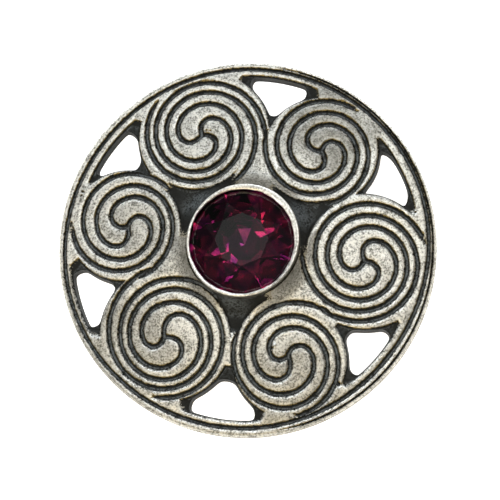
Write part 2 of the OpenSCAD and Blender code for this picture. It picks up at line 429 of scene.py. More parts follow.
# %% [markdown]
# A casting is never as even as its drawing. Soft noise makes widths and heights waver, each time
# with its own height, size and seed, so that it comes out the same in every run. Single marks,
# such as a nick in the wax or a bead of metal, have places of their own and are listed one by one.

# %% Noise and nicks
# Soft noise over the plane: how high it goes, the size of its lumps and its seed.
Sway = namedtuple("Sway", "height size seed")

# Places where the wax was nicked before casting. A depth below zero is a lump.
Mark = namedtuple("Mark", "x y radius depth")
MARKS = [
    Mark(-16.6, 5.75, 0.13, 0.25),
    Mark(-16.7, 5.4, 0.1, 0.2),
    Mark(9.25, -13.8, 0.22, 0.3),
    Mark(16.9, 3.35, 0.12, 0.2),
    Mark(-4.0, 11.75, 0.16, 0.1),
    Mark(-3.6, 11.7, 0.13, 0.1),
    Mark(2.6, -9.85, 0.16, 0.25),
    Mark(2.75, -10.3, 0.14, 0.25),
    Mark(3.0, -10.05, 0.16, -0.12),
]


def wander(points, sway):
    """Soft noise at each point, as high and as broad as a sway says."""
    lumps = [noise.noise(Vector((x / sway.size, y / sway.size, sway.seed))) for x, y in points]
    return sway.height * np.array(lumps)


print(f"{len(MARKS)} nicks and beads")

# %% [markdown]
# The relief is a share of its full depth at every point: the most that a groove, the rim's groove,
# a sunk place or the line around the setting asks for. A groove is a soft U, deepest along its
# course, with slightly ragged edges. A boolean cut would give the same grooves with hard, even
# edges, and an image as a displacement would blur them. The sunk places by the rim grow shallow
# towards their far corners.

# %% Depth of the relief
GROOVE_FLOOR = 0.05
GROOVE_HALF = 0.35
GROOVE_END_SHARE = 0.6
GROOVE_END_W = 1.2
RIM_GROOVE_HALF = 0.29
SCORED_R = 18.62
SCORED_HALF = 0.13
SCORED_DEPTH = 0.8
SCORED_SIDE = (0.1, 0.4)
COLLAR_W = 0.12
COLLAR_DEPTH = 0.6
SUNK_WALL = (-0.15, 0.08)
SUNK_DEPTH = 0.86
FADED_DEPTH = 0.5
FADE_W = 0.8
FIELD_WALL = (-0.12, 0.14)
FIELD_FLOOR = (0.15, 0.9)
FIELD_DEPTH = 0.84
MARK_SLOPE = (0.3, 1.3)
GROOVE_SWAY = Sway(0.14, 1.6, 3)
GROOVE_RAGGED = Sway(0.28, 0.33, 7)


def between(first, last, share):
    return first + (last - first) * share


def relief_at(points):
    """Share of the relief's depth at each point, and how far off the nearest wall is."""
    radius, angle = from_axis(points), direction_of(points)
    width = 1 + wander(points, GROOVE_SWAY) + wander(points, GROOVE_RAGGED)
    away, left_over = nearest_groove(points)
    taper = between(GROOVE_END_SHARE, 1, smooth(0, GROOVE_END_W, left_over))
    groove = taper * (1 - smooth(GROOVE_FLOOR, GROOVE_HALF * width * taper, away))
    from_rim_groove = np.abs(radius - rim_groove_r(angle))
    rim = 1 - smooth(GROOVE_FLOOR, RIM_GROOVE_HALF * width, from_rim_groove)
    scored = SCORED_DEPTH * (1 - smooth(0, SCORED_HALF, np.abs(radius - SCORED_R)))
    scored = scored * smooth(*SCORED_SIDE, np.cos(angle))
    collar = COLLAR_DEPTH * (1 - smooth(0, COLLAR_W, from_setting(points)))
    depth = np.max([groove, rim, scored, collar], axis=0)
    clear = np.min([away - GROOVE_HALF, from_rim_groove - RIM_GROOVE_HALF, disc_r - radius], axis=0)
    for place in PIERCINGS:
        inside = in_piercing_by(points, place)
        share = between(FADED_DEPTH, SUNK_DEPTH, smooth(0, FADE_W, before_end(points, place)))
        depth = np.maximum(depth, share * smooth(*SUNK_WALL, inside))
        clear = np.minimum(clear, SUNK_WALL[0] - inside)
    for field in FIELDS:
        inside = in_field_by(points, field)
        wall = FIELD_DEPTH * smooth(*FIELD_WALL, inside)
        depth = np.maximum(depth, wall + (1 - FIELD_DEPTH) * smooth(*FIELD_FLOOR, inside))
        clear = np.minimum(clear, FIELD_WALL[0] - inside)
    for mark in MARKS:
        off = distance_to(points, (mark.x, mark.y)) / mark.radius
        depth = depth + mark.depth / RELIEF * (1 - smooth(*MARK_SLOPE, off))
    return np.minimum(depth, 1), clear


out_to_rim = np.arange(pocket_r, disc_r, 0.1)
across = np.column_stack([out_to_rim, np.zeros(len(out_to_rim))])
print(f"Mean depth from the setting to the rim: {relief_at(across)[0].mean() * RELIEF:.2f} mm")

# %% [markdown]
# The face is one height over the plane: the dome, less the relief and the wear. The outer edge of
# the disc is rounded, the tops of the ridges fall a little towards their edges, and the whole
# face is faintly uneven. Around the setting the casting rises in a short slope, which closes the
# seam that the photograph shows as a fine dark line. All of this is added to one height, so no
# two surfaces have to be joined.

# %% Height of the face
RIM_ROUND = 0.4
RIM_DROP = 0.3
RIM_CURVE = 2.2
FILLET_RISE = 1.35
FILLET_W = 1.7
RIDGE_ROUND = 0.06
RIDGE_ROUND_W = 0.35
FACE_SWAY = Sway(0.02, 1.1, 11)
FACE_FINE = Sway(0.012, 0.35, 13)


def dome_z(radius):
    return crown_z - dome_r + np.sqrt(dome_r**2 - radius**2)


def face_z(points):
    """Height of the face: the dome and the slope up to the setting, less relief and wear."""
    radius = from_axis(points)
    edge = RIM_DROP * np.clip((radius - disc_r + RIM_ROUND) / RIM_ROUND, 0, 1) ** RIM_CURVE
    fillet = 2 * FILLET_RISE * (1 - smooth(-FILLET_W, FILLET_W, from_setting(points)))
    uneven = wander(points, FACE_SWAY) + wander(points, FACE_FINE)
    depth, clear = relief_at(points)
    rounded = RIDGE_ROUND * (1 - smooth(0, RIDGE_ROUND_W, clear))
    return dome_z(radius) + fillet - RELIEF * depth - rounded - edge + uneven


print(f"Face {face_z(across).min():.2f} to {face_z(across).max():.2f} mm above the floor")

# %% [markdown]
# The height needs points to stand on. Many of them come from two patterns, rings around the axis
# and grids of staggered rows. A staggered row gives fuller triangles than one that is in line.

# %% Rings and grids
def ring(radius, count, phase=0, out=0):
    """Points around the axis. The radius is a number, or a rule that gives it for each angle."""
    angle = np.arange(count) * 2 * np.pi / count + phase
    radii = (radius(angle) if callable(radius) else radius) + out
    return np.reshape(radii, (-1, 1)) * arrows(angle)


def grid(step, inner_r, outer_r):
    """Points in staggered rows over a ring-shaped area. The inner radius may be a rule."""
    side = np.arange(-outer_r, outer_r, step)
    x, y = np.meshgrid(side, side)
    x[::2] += step / 2
    points = np.stack([x.ravel(), y.ravel()], axis=1)
    radius = from_axis(points)
    inside_r = inner_r(direction_of(points)) if callable(inner_r) else inner_r
    return points[(radius > inside_r) & (radius < outer_r)]


def outside_holes(points, inset, clear=0):
    """Which points lie outside all holes, by more than a distance."""
    return np.all([in_hole_by(points, place, inset) < -clear for place in PIERCINGS], axis=0)


print(f"A grid of 1 mm has {len(grid(1, pocket_r, disc_r))} points over the disc")

# %% [markdown]
# Even squares waste most of their points on plain metal and still leave steps along the grooves.
# Here the points lie where the shape turns: in lines beside every groove, in rings along the rim
# and the setting, and along the edges of the sunk places. A coarse grid fills what is left.

# %% Points of the face
STATION = 0.19
GRID = 0.24
EDGE_GRID = 0.09
EDGE_NEAR = 0.17
RIM_COUNT = 620
BESIDE = [0, 0.09, 0.16, 0.22, 0.28, 0.35, 0.45]
RIM_BESIDE = [0, 0.09, 0.16, 0.22, 0.29, 0.38]
BAND_RINGS = [18.48, 18.55, 18.62, 18.69, 18.76, 18.83, 18.88, 18.93]
RIM_TOP_R = 18.97
COLLAR_RINGS = (0.06, 0.12)
POCKET_COUNT = 200
MARK_RINGS = (0.01, 0.5, 0.9, 1.4)
MARK_COUNT = 9

# How far the points of one kind keep from the lines, rings and edges of another.
LINE_SPARE = 0.02
EDGE_CLEAR, GRID_CLEAR = 0.05, 0.07
LINES_END_R, EDGES_END_R, GRID_END_R = (RIM_GROOVE_R - off for off in (0.55, 0.4, 0.5))
HOLE_CLEAR = 0.04
SETTING_CLEAR = 0.03


def both_ways(away):
    """A distance to both sides of a line, or just the line itself."""
    return (-away, away) if away else (0,)


def beside_grooves():
    """Lines of points along the grooves, without those that lie nearer to another groove."""
    found = []
    for groove in GROOVES:
        points, left, _ = course(groove, STATION)
        for away in BESIDE:
            for aside in both_ways(away):
                line = points + aside * left
                found.append(line[nearest_groove(line)[0] > away - LINE_SPARE])
    found = np.concatenate(found)
    return found[from_axis(found) < LINES_END_R]


def along_sunk_edges():
    """Close points over the walls of the sunk places."""
    points = grid(EDGE_GRID, pocket_edge_r, EDGES_END_R)
    inside = [in_piercing_by(points, place) for place in PIERCINGS]
    inside += [in_field_by(points, field) for field in FIELDS]
    near = np.min(np.abs(inside), axis=0) < EDGE_NEAR
    return points[near & (nearest_groove(points)[0] > BESIDE[-1] + EDGE_CLEAR)]


def around_marks():
    """Small rings of points over the nicks."""
    return np.concatenate([ring(mark.radius * share, MARK_COUNT, share) + (mark.x, mark.y)
                           for mark in MARKS for share in MARK_RINGS])


plain = grid(GRID, pocket_edge_r, GRID_END_R)
plain = plain[nearest_groove(plain)[0] > BESIDE[-1] + GRID_CLEAR]
rim_lines = [ring(rim_groove_r, RIM_COUNT, away, aside)
             for away in RIM_BESIDE for aside in both_ways(away)]
band = [ring(radius, RIM_COUNT, phase=radius) for radius in BAND_RINGS]
collar = [ring(pocket_edge_r, POCKET_COUNT, out=out) for out in COLLAR_RINGS]
face_points = np.concatenate([
    beside_grooves(), along_sunk_edges(), around_marks(), plain, *rim_lines, *band, *collar])
face_points = face_points[outside_holes(face_points, 0, HOLE_CLEAR)]
face_points = face_points[from_setting(face_points) > SETTING_CLEAR]
print(f"{len(face_points)} points over the face")

# %% [markdown]
# A triangulation joins the points with triangles that are as full as they can be. The
# outlines of the holes, the rim and the pocket are given to it as edges, so that they stay sharp.

# %% Triangles between the points
# The triangulation fills the whole area, also the holes, and joins points closer than this.
WHOLE_AREA = 0
SAME_POINT = 1e-5


def triangulate(points, loops, inset):
    """Joins points and closed outlines with triangles, and leaves the holes open."""
    everything = np.concatenate(loops + [points])
    edges, first = [], 0
    for loop in loops:
        edges += [(first + k, first + (k + 1) % len(loop)) for k in range(len(loop))]
        first += len(loop)
    corners = [Vector(point) for point in everything.tolist()]
    found = delaunay_2d_cdt(corners, edges, [], WHOLE_AREA, SAME_POINT)
    flat, triangles = np.array([tuple(v) for v in found[0]]), np.array(found[2])
    middles = flat[triangles].mean(axis=1)
    keep = outside_holes(middles, inset)
    return flat, triangles[keep], middles[keep]


face_loops = [ring(RIM_TOP_R, RIM_COUNT), ring(pocket_edge_r, POCKET_COUNT)]
face_loops += [hole_outline(place, 0) for place in PIERCINGS]
face_flat, face_triangles, middles = triangulate(face_points, face_loops, 0)
face_triangles = face_triangles[from_setting(middles) > 0]
print(f"Face: {len(face_flat)} points, {len(face_triangles)} triangles")

# %% [markdown]
# The back of such a casting is hollow, which saves metal and weight. It has a flat edge, a shallow
# dish and a boss that backs the stone. It is a second height over the plane, with far fewer points,
# because nothing is drawn on it. The holes are a little narrower here than in the face, so that
# the casting leaves its mould.

# %% The back
HOLE_DRAFT = 0.12
BACK_RINGS = [18.9, 18.8, 18.6, 18.1, 17.95, 17.85, 17.75, 17.6, 17.3]
BOSS_RINGS = [3, 6, 6.45, 6.55, 6.65, 6.75, 6.85, 6.95, 7.05, 7.3]
BACK_PER_R = 16
BACK_GRID, BACK_GRID_IN_R, BACK_GRID_OUT_R = 0.5, 7.4, 17.2
HOLE_RINGS = (0.08, 0.17, 0.27)
HOLE_RING_COUNT = 120
BACK_EDGE_R = 18.95
BACK_ROUND = 0.12
BACK_ROUND_W = 0.2
HOLE_ROUND_W = 0.25
BOSS_SLOPE = (BOSS_R - 0.2, BOSS_R + 0.3)
BACK_SWAY = Sway(0.03, 2.3, 17)
UNEVEN_FROM = (7, 8)
UNEVEN_END_W = 0.5


def back_height(points):
    """Height of the back: flat edge, dish and boss, with rounded edges."""
    radius = from_axis(points)
    dish = dish_rise - dish_r + np.sqrt(dish_r**2 - np.minimum(radius, dish_rim_r) ** 2)
    dish = dish * smooth(*BOSS_SLOPE, radius)
    edges = BACK_ROUND * smooth(BACK_EDGE_R - BACK_ROUND_W, BACK_EDGE_R, radius)
    for place in PIERCINGS:
        off = -in_hole_by(points, place, HOLE_DRAFT)
        edges = np.maximum(edges, BACK_ROUND * (1 - smooth(0, HOLE_ROUND_W, off)))
    uneven = BACK_SWAY.height + wander(points, BACK_SWAY)
    uneven = uneven * smooth(*UNEVEN_FROM, radius) * smooth(0, UNEVEN_END_W, dish_rim_r - radius)
    return back_z + dish + edges + uneven


back_points = [ring(radius, int(radius * BACK_PER_R), radius) for radius in BACK_RINGS + BOSS_RINGS]
back_points += [grid(BACK_GRID, BACK_GRID_IN_R, BACK_GRID_OUT_R)]
back_points += [hole_outline(place, HOLE_DRAFT - away, HOLE_RING_COUNT)
                for place in PIERCINGS for away in HOLE_RINGS]
back_loops = [ring(BACK_EDGE_R, RIM_COUNT)]
back_loops += [hole_outline(place, HOLE_DRAFT) for place in PIERCINGS]
back_points = np.concatenate(back_points)
back_points = back_points[outside_holes(back_points, HOLE_DRAFT, HOLE_CLEAR)]
back_flat, back_triangles, _ = triangulate(back_points, back_loops, HOLE_DRAFT)
print(f"Back: {len(back_flat)} points, {len(back_triangles)} triangles")

# %% [markdown]
# The finish depends on the shape: patina gathers where the relief is deep, and edges beside a groove
# are rubbed bright and get a painted highlight as well. The face gets painted shade around the
# setting, some patches of it and the side of the rim are darker, and the back is dirty. A shader
# could guess at these from the bend of the surface, but the script knows them already. It keeps
# them as three measures at every point: how sunk a point is, how far its edge is worn and painted
# as a highlight, and how much painted shade and dirt it has.

# %% Patina, wear, painted highlights, painted shade and dirt on the face and the back
WEAR_AND_HIGHLIGHT_W = 0.3
SETTING_SHADE_W = 1.6
PLAIN_SUNK = 0.04
BOSS_LINE_R = BOSS_R + 0.3
BOSS_LINE_SUNK = 0.6
DISH_LINE_R = 17.7
DISH_LINE_SUNK = 0.4
BACK_DIRT = 0.35

# Patches of the face that are darker than the rest, and how their edges fade.
Dull = namedtuple("Dull", "x y reach share")
DULL = [
    Dull(8, 11.8, 6, 0.75),
    Dull(-2.5, 8, 5, 0.4),
    Dull(-9, 2, 6, 0.4),
    Dull(-12.4, -10.3, 7, 0.5),
    Dull(4, -14.5, 7, 0.45),
    Dull(-5, -15, 5, 0.25),
]
DULL_FADE = (0.5, 1.1)
DULL_SWAY = Sway(0.25, 2.5, 17)

face_sunk, face_clear = relief_at(face_flat)
# Ridge edges beside a groove are worn, and lightened further as a painted highlight.
face_worn = (1 - smooth(0, WEAR_AND_HIGHLIGHT_W, face_clear)) * (1 - face_sunk)
# Painted shade: the face grows darker close to the setting.
face_shade_and_dirt = 1 - smooth(0, SETTING_SHADE_W, from_setting(face_flat))
dull_edge = wander(face_flat, DULL_SWAY)
for dull in DULL:
    off = distance_to(face_flat, (dull.x, dull.y)) / dull.reach + dull_edge
    face_shade_and_dirt = np.maximum(face_shade_and_dirt, dull.share * (1 - smooth(*DULL_FADE, off)))

back_radius = from_axis(back_flat)
boss_line = BOSS_LINE_SUNK * np.exp(-np.abs(back_radius - BOSS_LINE_R))
dish_line = DISH_LINE_SUNK * np.exp(-2 * np.abs(back_radius - DISH_LINE_R))
back_sunk = PLAIN_SUNK + boss_line + dish_line
print(f"Sunk {face_sunk.mean():.2f}, worn {face_worn.mean():.2f}, dirty {face_shade_and_dirt.mean():.2f}")

# %% [markdown]
# Face and back are two sheets so far. Short walls join them: the edge of the disc, the pocket for
# the setting and the walls of the holes. Each wall is a stack of rings with as many points as
# the outline it starts from, so that the sheets and walls can be welded into one closed mesh.

# %% Walls and welding
WELD = 0.0005


def raised(flat, height):
    """Points on the plane, lifted to a height."""
    return np.column_stack([flat, np.broadcast_to(height, len(flat))])


def walls(levels, *given):
    """The parts of a wall that runs through closed rings of points, from top to bottom."""
    count = len(levels[0])
    faces = [(k, (k + 1) % count, count + (k + 1) % count, count + k) for k in range(count)]
    return [(np.concatenate([upper, lower]), faces, *given)
            for upper, lower in zip(levels, levels[1:])]


def weld(mesh):
    """Joins points that meet and turns all faces outwards."""
    bmesh.ops.remove_doubles(mesh, verts=mesh.verts, dist=WELD * MM)
    bmesh.ops.recalc_face_normals(mesh, faces=mesh.faces)


def mesh_of(name, shape):
    """Turns a finished bmesh into a mesh of its own."""
    made = bpy.data.meshes.new(name)
    shape.to_mesh(made)
    shape.free()
    return made


print(f"Points within {WELD} mm of each other become one")

# %% [markdown]
# A list of parts becomes one mesh, which carries its three measures as attributes. Every piece then
# rides on the imported model's body and replaces the plain node whose place it takes.

# %% From parts to pieces
def mesh_from(name, parts):
    """One mesh from parts of (points, faces, sunk, worn, dirty), welded where their edges meet."""
    points, faces, first = [], [], 0
    measures = {"sunk": [], "worn": [], "shade_and_dirt": []}
    for part_points, part_faces, *given in parts:
        points.append(part_points)
        faces += [[first + int(k) for k in face] for face in part_faces]
        for values, value in zip(measures.values(), given):
            values.append(np.broadcast_to(value, len(part_points)))
        first += len(part_points)
    mesh = bpy.data.meshes.new(name)
    mesh.from_pydata((np.concatenate(points) * MM).tolist(), [], faces)
    for label, values in measures.items():
        attribute = mesh.attributes.new(label, "FLOAT", "POINT")
        attribute.data.foreach_set("value", np.concatenate(values))
    shape = bmesh.new()
    shape.from_mesh(mesh)
    weld(shape)
    shape.to_mesh(mesh)
    shape.free()
    return mesh


def add_piece(name, mesh, replaced, sharp_above=None):
    """Puts a mesh into the scene as a piece of the brooch. Edges up to an angle look smooth."""
    if sharp_above:
        mesh.shade_smooth()
        mesh.set_sharp_from_angle(angle=math.radians(sharp_above))
    piece = bpy.data.objects.new(name, mesh)
    bpy.context.scene.collection.objects.link(piece)
    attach(piece, "root")
    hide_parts(replaced)
    print(f"{name}: {len(mesh.polygons)} faces")
    return piece


print("Nodes to replace:", sorted(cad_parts))

# %% [markdown]
# Sheets and walls are listed with their measures and made into the disc. The walls of the holes
# bulge by a hair, as cast walls do, and are dark with patina all the way through.

# %% The disc
DISC_SHARP = 62
WALL_SUNK = 0.75
HOLE_LEVELS = (0, 0.06, 0.2, 0.5, 0.8, 1)
HOLE_BULGE = 0.03
RIM_LEVELS = (0.06, 0.3, 0.6, 0.92)
# The side wall of the rim is painted darker by this share.
RIM_SIDE_DARK = 0.5

parts = [
    (raised(face_flat, face_z(face_flat)), face_triangles, face_sunk, face_worn, face_shade_and_dirt),
    (raised(back_flat, back_height(back_flat)), back_triangles, back_sunk, 0, BACK_DIRT),
]
for place in PIERCINGS:
    top_z = face_z(hole_outline(place, 0))
    bottom_z = back_height(hole_outline(place, HOLE_DRAFT))
    levels = []
    for share in HOLE_LEVELS:
        bulge = HOLE_BULGE * math.sin(math.pi * share) ** 0.5
        ledge = hole_outline(place, HOLE_DRAFT * share - bulge)
        levels.append(raised(ledge, between(top_z, bottom_z, share)))
    parts += walls(levels, WALL_SUNK, 0, 0)

rim_top = raised(face_loops[0], face_z(face_loops[0]))
rim_bottom = raised(back_loops[0], back_height(back_loops[0]))
rim_side = [raised(ring(disc_r, RIM_COUNT), between(rim_top[:, 2], rim_bottom[:, 2], share))
            for share in RIM_LEVELS]
parts += walls([rim_top, *rim_side, rim_bottom], PLAIN_SUNK, 0, RIM_SIDE_DARK)

pocket_top = raised(face_loops[1], face_z(face_loops[1]))
pocket_floor = raised(ring(pocket_r, POCKET_COUNT), pocket_z)
parts += walls([pocket_top, pocket_floor], 1, 0, 0)
parts.append((pocket_floor, [range(POCKET_COUNT)], 1, 0, 0))

disc_mesh = mesh_from("disc_relief", parts)
disc = add_piece("disc_relief", disc_mesh, "disc", DISC_SHARP)

# %% [markdown]
# The setting is a thin cup of plated metal, and its lip is rubbed over the stone by hand. Turning a
# profile about the axis makes such a cup, and an even lip would look stamped. So each step of the
# turn asks for the lip's two radii in that direction: close together at the upper left, far apart
# at the upper right, with the small waves that the burnisher leaves.

# %% Setting
SETTING_COUNT = 192
SETTING_SHARP = 50
FOOT_BEVEL = 0.1
WALL = 0.35
SEAT_W = 0.45
SEAT_BELOW = 0.15
FLOOR_BELOW = 0.1
BORE_ABOVE = 0.1
GIRDLE_BELOW = 0.55
GIRDLE_H = 0.3
PAVILION_H = 3.5
PAVILION_TILT = math.radians(38.5)
RIPPLE_H = 0.02
RIPPLES = 5

# Steps down from the lip's crest, and inwards from its outer or outwards from its inner edge.
LIP_OUTSIDE = [(0.42, -0.02), (0.17, 0), (0.06, 0.02), (0.015, 0.055), (0, 0.11)]
LIP_INSIDE = [(0.01, 0.07), (0.05, 0.02), (0.11, 0)]
# Steps up from the girdle to the underside of the lip, and outwards from its inner edge.
LIP_UNDERSIDE = [(0.22, 0), (0.17, 0.03)]

girdle_top = lip_z - GIRDLE_BELOW
girdle_z = girdle_top - GIRDLE_H


def setting_profile(angle):
    """The section of the cup at one direction, from the middle of its base to its floor."""
    outer, inner = lip_radii(angle)
    crest = lip_z - RIPPLE_H + RIPPLE_H * math.sin(RIPPLES * angle)
    bore_r = setting_r - WALL
    seat_z = girdle_z - SEAT_BELOW
    floor_r = bore_r - SEAT_W
    floor_z = girdle_z - PAVILION_H - FLOOR_BELOW
    profile = [(0, setting_z), (setting_r - FOOT_BEVEL, setting_z), (setting_r, setting_z + FOOT_BEVEL)]
    profile.append((outer, lip_z - LIP_H))
    profile += [(outer - inward, crest - down) for down, inward in LIP_OUTSIDE]
    profile += [(inner + outward, crest - down) for down, outward in LIP_INSIDE]
    profile += [(inner + outward, girdle_top + up) for up, outward in LIP_UNDERSIDE]
    profile += [(bore_r, girdle_top + BORE_ABOVE), (bore_r, seat_z)]
    profile.append((floor_r, seat_z - SEAT_W * math.tan(PAVILION_TILT)))
    return profile + [(floor_r, floor_z), (0, floor_z)]


def turned_mesh(name, profile_at, count):
    """Turns a profile about the axis. The profile is asked for anew in each direction."""
    shape = bmesh.new()
    rows = []
    for k in range(count):
        angle = 2 * math.pi * k / count
        rows.append([shape.verts.new((r * math.cos(angle) * MM, r * math.sin(angle) * MM, z * MM))
                     for r, z in profile_at(angle)])
    for k, row in enumerate(rows):
        ahead = rows[(k + 1) % count]
        for j in range(len(row) - 1):
            shape.faces.new((row[j], ahead[j], ahead[j + 1], row[j + 1]))
    weld(shape)
    return mesh_of(name, shape)


setting_mesh = turned_mesh("setting_rubbed_over", setting_profile, SETTING_COUNT)
setting = add_piece("setting_rubbed_over", setting_mesh, "setting", SETTING_SHARP)

# %% [markdown]
# The stone is cut like a small brilliant. It has an eight-sided table, stars and kites around it,
# a thin girdle and a back with a flatter tip, which a metal foil covers. Light enters the crown,
# strikes the foil and comes back out, so the crown is glass and the back is a coloured mirror on
# the same closed mesh. A painted pattern of flashes would stay put when the camera moves, and
# these don't.

# %% Stone
TABLE_W = 4.9
SIDES = 8
GIRDLE_SIDES = 2 * SIDES
HALF_SIDE = 180 / SIDES
KEEL_SHARE = 0.25
TIP_H = 0.45
GLASS, FOIL = 0, 1


def stone_ring(count, radius, z, first=0):
    """Corners around the axis, the first of them in a direction given in degrees."""
    return [Vector((radius * math.cos(a), radius * math.sin(a), z))
            for a in (math.radians(first + k * 360 / count) for k in range(count))]


def stone_mesh_of(name):
    """The stone as a closed mesh, with glass on its crown and girdle and foil on its back."""
    flat_share = math.cos(math.radians(HALF_SIDE))
    table_r = TABLE_W / 2 / flat_share
    star_r = (table_r + girdle_r) / 2
    crown_slope = (table_z - girdle_top) / (girdle_r - table_r)
    star_z = girdle_top + (girdle_r - star_r * flat_share) * crown_slope
    culet_r = girdle_r - (PAVILION_H - TIP_H) / math.tan(PAVILION_TILT)
    keel_r = culet_r / flat_share + KEEL_SHARE * (girdle_r - culet_r)
    keel_z = girdle_z - (girdle_r - keel_r * flat_share) * math.tan(PAVILION_TILT)
    tip_z = girdle_z - PAVILION_H
    table = stone_ring(SIDES, table_r, table_z)
    star = stone_ring(SIDES, star_r, star_z, HALF_SIDE)
    top = stone_ring(GIRDLE_SIDES, girdle_r, girdle_top)
    low = stone_ring(GIRDLE_SIDES, girdle_r, girdle_z)
    keel = stone_ring(SIDES, keel_r, keel_z, HALF_SIDE)
    culet = stone_ring(SIDES, culet_r / flat_share, tip_z + TIP_H, HALF_SIDE)
    tip = Vector((0, 0, tip_z))
    crown, back = [table], []
    for k in range(SIDES):
        ahead, double = (k + 1) % SIDES, 2 * k
        beyond = (double + 2) % GIRDLE_SIDES
        crown += [(table[k], table[ahead], star[k]), (table[k], star[k], top[double], star[k - 1])]
        crown += [(star[k], top[double + 1], top[double]), (star[k], top[beyond], top[double + 1])]
        back += [(keel[k], low[double], low[double + 1]), (keel[k], low[double + 1], low[beyond])]
        back += [(culet[k], culet[k - 1], keel[k - 1], low[double], keel[k])]
        back += [(tip, culet[k - 1], culet[k])]
    for k in range(GIRDLE_SIDES):
        ahead = (k + 1) % GIRDLE_SIDES
        crown.append((top[k], top[ahead], low[ahead], low[k]))
    shape = bmesh.new()
    for facets, slot in ((crown, GLASS), (back, FOIL)):
        for facet in facets:
            corners = [shape.verts.new(corner * MM) for corner in facet]
            shape.faces.new(corners).material_index = slot
    weld(shape)
    return mesh_of(name, shape)


stone = add_piece("cut_stone", stone_mesh_of("cut_stone"), "stone")

# %% [markdown]
# The pin bar is hidden in the photograph and is kept plain. Its solid has sharp edges, which no
# cast or stamped fitting has, and sharp edges catch no light. A copy of its mesh is cleaned of
# needless triangles and gets a small rounded edge, which is all that it needs.

# %% Pin bar
PIN_BAR_EDGE = 0.09
PIN_BAR_SHARP = 45
SOLID_WELD = 0.002
FLAT_ANGLE = math.radians(2)
CORNER_ANGLE = math.radians(40)


def rounded_copy(name, node, width):
    """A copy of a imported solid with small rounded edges."""
    shape = bmesh.new()
    shape.from_mesh(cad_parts[node].data)
    bmesh.ops.remove_doubles(shape, verts=shape.verts, dist=SOLID_WELD * MM)
    bmesh.ops.dissolve_limit(shape, angle_limit=FLAT_ANGLE, verts=shape.verts, edges=shape.edges)
    corners = [edge for edge in shape.edges
               if len(edge.link_faces) == 2 and edge.calc_face_angle() > CORNER_ANGLE]
    bmesh.ops.bevel(shape, geom=corners, offset=width * MM, segments=2, profile=0.5,
                    affect="EDGES", clamp_overlap=True)
    return mesh_of(name, shape)


pin_bar_mesh = rounded_copy("pin_bar_rounded", "pin_bar", PIN_BAR_EDGE)
pin_bar = add_piece("pin_bar_rounded", pin_bar_mesh, "pin_bar", PIN_BAR_SHARP)

# %% [markdown]
# Materials are trees of nodes. Written out one by one, their links hide what a finish does, so
# a few short helpers come first. Each adds one node, fills its sockets with numbers or with other
# nodes' outputs, and hands back what the node puts out.

# %% Helpers for numbers and vectors
def feed(tree, socket, value):
    """Links a socket to an output, or sets it to a plain value."""
    if isinstance(value, bpy.types.NodeSocket):
        tree.links.new(value, socket)
    else:
        socket.default_value = value


def fill(tree, node, *values, **named):
    """Feeds a node's first sockets in order, and others by name, with _ for a space."""
    for socket, value in zip(node.inputs, values):
        feed(tree, socket, value)
    for label, value in named.items():
        feed(tree, node.inputs[label.replace("_", " ")], value)
    return node.outputs


def add_node(tree, kind, *values, **named):
    return fill(tree, tree.nodes.new("ShaderNode" + kind), *values, **named)


def math_node(tree, operation, *values):
    node = tree.nodes.new("ShaderNodeMath")
    node.operation = operation
    return fill(tree, node, *values)[0]


def times(tree, first, second):
    return math_node(tree, "MULTIPLY", first, second)


def vector_math(tree, operation, *values):
    node = tree.nodes.new("ShaderNodeVectorMath")
    node.operation = operation
    return fill(tree, node, *values)


def remap(tree, value, low, high, at_low=0.0, at_high=1.0):
    """Goes softly from one number to another while the value goes from low to high."""
    node = tree.nodes.new("ShaderNodeMapRange")
    node.interpolation_type = "SMOOTHSTEP"
    return fill(tree, node, value, low, high, at_low, at_high)["Result"]


print("Ready:", [helper.__name__ for helper in (add_node, math_node, vector_math, remap)])

# %% [markdown]
# Colours, noise and groups get helpers too. A group is a box of nodes with named inputs and outputs,
# which several materials can share. It hands out masks, and the shader stays in the material.

# %% Helpers for colours, noise and groups
# A Mix node has a socket for every type. These are the ones for colours.
MIX_FIRST, MIX_SECOND, MIX_OUT = 6, 7, 2


def mix_colour(tree, share, first, second):
    node = tree.nodes.new("ShaderNodeMix")
    node.data_type = "RGBA"
    feed(tree, node.inputs[MIX_FIRST], first)
    feed(tree, node.inputs[MIX_SECOND], second)
    return fill(tree, node, share)[MIX_OUT]


def noise_node(tree, vector, scale, detail=2.0, roughness=0.5):
    named = {"Vector": vector, "Scale": scale, "Detail": detail, "Roughness": roughness}
    return add_node(tree, "TexNoise", **named)["Fac"]


def new_group(name, inputs, outputs):
    """A shader node group. Inputs without a number are vectors, and outputs are numbers."""
    group = bpy.data.node_groups.new(name, "ShaderNodeTree")
    for label, value in inputs.items():
        kind = "NodeSocketVector" if value is None else "NodeSocketFloat"
        socket = group.interface.new_socket(name=label, in_out="INPUT", socket_type=kind)
        if value is not None:
            socket.default_value = value
    for label in outputs:
        group.interface.new_socket(name=label, in_out="OUTPUT", socket_type="NodeSocketFloat")
    return group, group.nodes.new("NodeGroupInput").outputs, group.nodes.new("NodeGroupOutput")


print("Ready:", [helper.__name__ for helper in (mix_colour, noise_node, new_group)])

# %% [markdown]
# Three effects are node groups with named values, and all the metals share the first and the last.
# The first is the grain of the casting: the fine speckle and the pits that tumbling leaves. One
# noise alone looks like sand of one size, so finer and broader noise are mixed. The pits are the
# middles of the cells in a cell pattern.

# %% Cast grain
# Scales are shares of the fine noise's own.
FINE_SHARE = 0.75
BROAD_SCALE = 0.28
SPECKLE_RANGE = (0.36, 0.6)
PIT_SCALE = 0.22
PIT_EDGE = (0.16, 0.05)
PIT_DEPTH = 0.5


